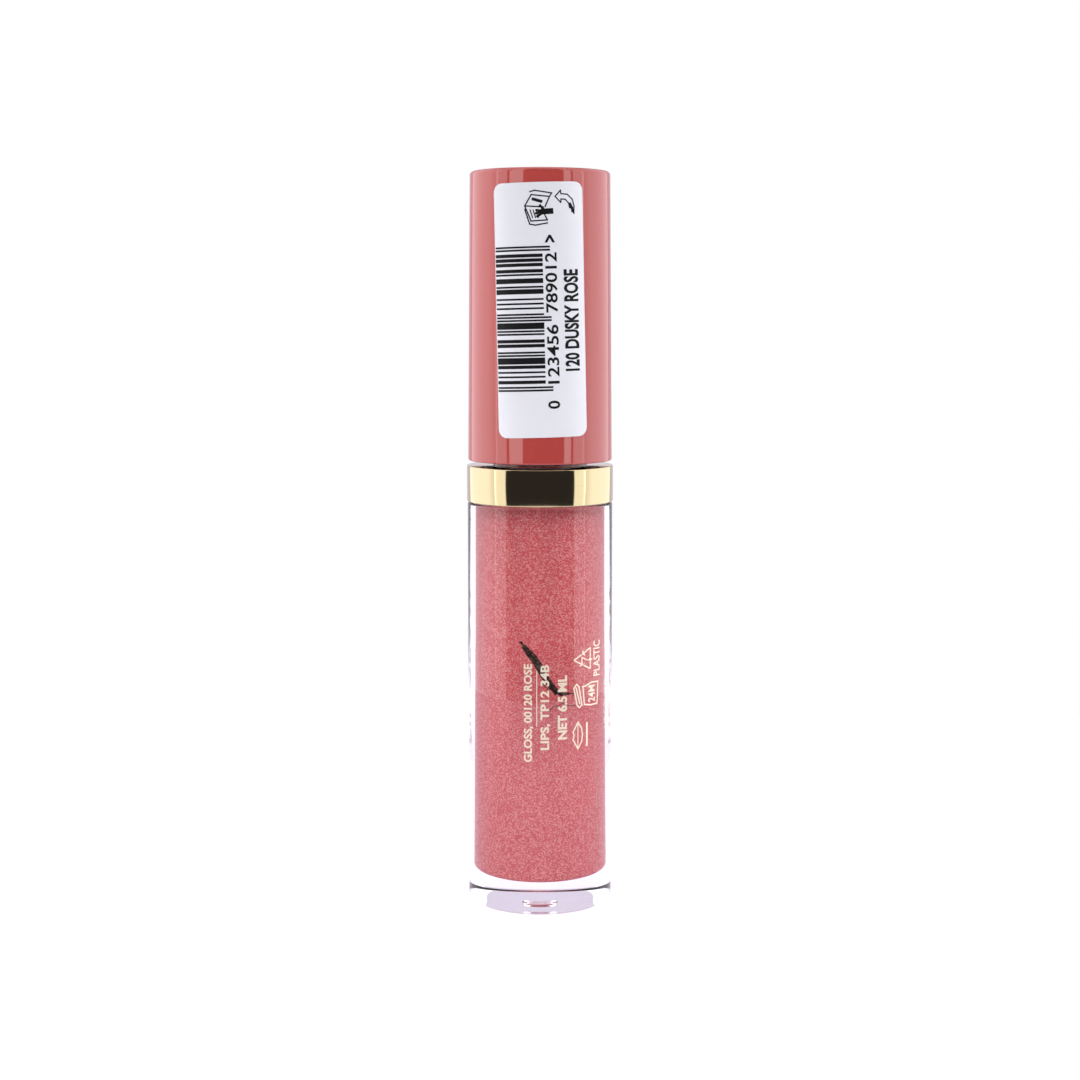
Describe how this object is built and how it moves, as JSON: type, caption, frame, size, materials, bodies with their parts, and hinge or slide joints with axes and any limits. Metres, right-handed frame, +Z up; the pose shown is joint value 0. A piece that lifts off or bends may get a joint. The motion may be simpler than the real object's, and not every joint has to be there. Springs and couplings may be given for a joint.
{
  "type": "lip gloss tube",
  "caption": "Round clear-walled lip gloss tube with a gold collar and a tall screw cap that carries a doe-foot applicator and a peel-open label.",
  "frame": {"origin": "centre of the bottle's base, on the surface it stands on", "axes": "+Z up along the tube's axis, -Y towards the label on the cap, +X to the right of it"},
  "size_m": [0.0202, 0.0202, 0.1007],
  "materials": {
    "clear_bottle": "clear, polished",
    "gold_collar": "gold anodised, bright",
    "wiper_plastic": "soft, natural",
    "gloss": "wet, with fine shimmer",
    "rose_cap": "high gloss",
    "inner_cap_plastic": "natural",
    "liner_foam": "matt",
    "rod_plastic": "natural",
    "tip_flock": "flocked",
    "label_film": "printed film, satin"
  },
  "bodies": {
    "bottle": {"bottle": "clear_bottle", "collar": "gold_collar", "wiper": "wiper_plastic", "gloss_fill": "gloss"},
    "liner": {"cap_liner": "liner_foam"},
    "applicator": {"applicator_rod": "rod_plastic", "applicator_tip": "tip_flock"},
    "cap": {"outer_cap": "rose_cap", "inner_cap": "inner_cap_plastic", "label_base": "label_film"},
    "leaf": {"label_leaf": "label_film"}
  },
  "joints": [
    {"name": "cap_withdraw", "type": "slide", "parent": "bottle", "child": "liner", "axis": [0, 0, 1], "range_m": [0, 0.072]},
    {"name": "thread_rise", "type": "slide", "parent": "liner", "child": "applicator", "axis": [0, 0, 1], "range_m": [0, 0.0038]},
    {"name": "cap_turn", "type": "hinge", "parent": "applicator", "child": "cap", "pos_m": [0, 0, 0.0815], "axis": [0, 0, 1], "range_deg": [0, 450]},
    {"name": "leaf_peel", "type": "hinge", "parent": "cap", "child": "leaf", "pos_m": [-0.00577, -0.00799, 0.08189], "axis": [0.0206, -0.0252, -0.9995], "range_deg": [0, 150]}
  ],
  "couplings": [
    {"joint": "thread_rise", "follows": "cap_turn", "m_per_rad": 0.00047746}
  ]
}
